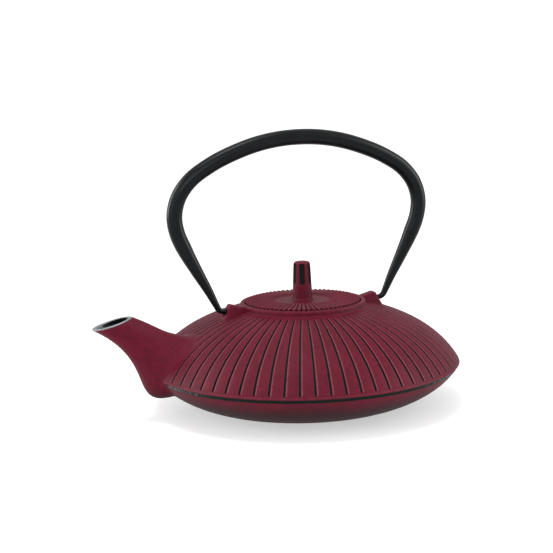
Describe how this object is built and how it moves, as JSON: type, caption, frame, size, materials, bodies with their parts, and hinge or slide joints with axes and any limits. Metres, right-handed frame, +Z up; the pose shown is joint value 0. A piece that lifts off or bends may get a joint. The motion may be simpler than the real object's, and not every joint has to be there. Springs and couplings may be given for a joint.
{
  "type": "cast iron teapot",
  "caption": "Low round cast iron teapot with a ribbed shoulder, a spout, a fold-down bail handle, a lift-off lid with a tall knob, and a lift-out tea infuser.",
  "frame": {"origin": "centre of the flat base's underside, on the axis of the pot", "axes": "+Z up; the spout points along -X; the handle folds about an axis along X"},
  "size_m": [0.238, 0.2, 0.1769],
  "materials": {
    "red_cast_iron": "matt burgundy paint over sand-cast iron",
    "stainless_steel": "brushed",
    "black_handle": "satin black lacquer"
  },
  "bodies": {
    "pot": {"pot_bowl": "red_cast_iron", "pot_shoulder": "red_cast_iron", "spout": "red_cast_iron", "lug_front": "red_cast_iron", "lug_rear": "red_cast_iron"},
    "infuser": {"infuser_rim": "stainless_steel", "infuser_wall": "stainless_steel", "infuser_base": "stainless_steel", "infuser_base_band": "stainless_steel"},
    "lid": {"lid": "red_cast_iron", "lid_knob": "red_cast_iron", "knob_washer": "stainless_steel", "knob_screw": "stainless_steel"},
    "handle": {"handle": "black_handle"}
  },
  "joints": [
    {"name": "handle_fold", "type": "hinge", "parent": "pot", "child": "handle", "pos_m": [0, 0, 0.0642], "axis": [1, 0, 0], "range_deg": [-106, 106]},
    {"name": "infuser_lift", "type": "slide", "parent": "pot", "child": "infuser", "axis": [0, 0, 1], "range_m": [0, 0.06]},
    {"name": "lid_lift", "type": "slide", "parent": "infuser", "child": "lid", "axis": [0, 0, 1], "range_m": [0, 0.04]}
  ]
}
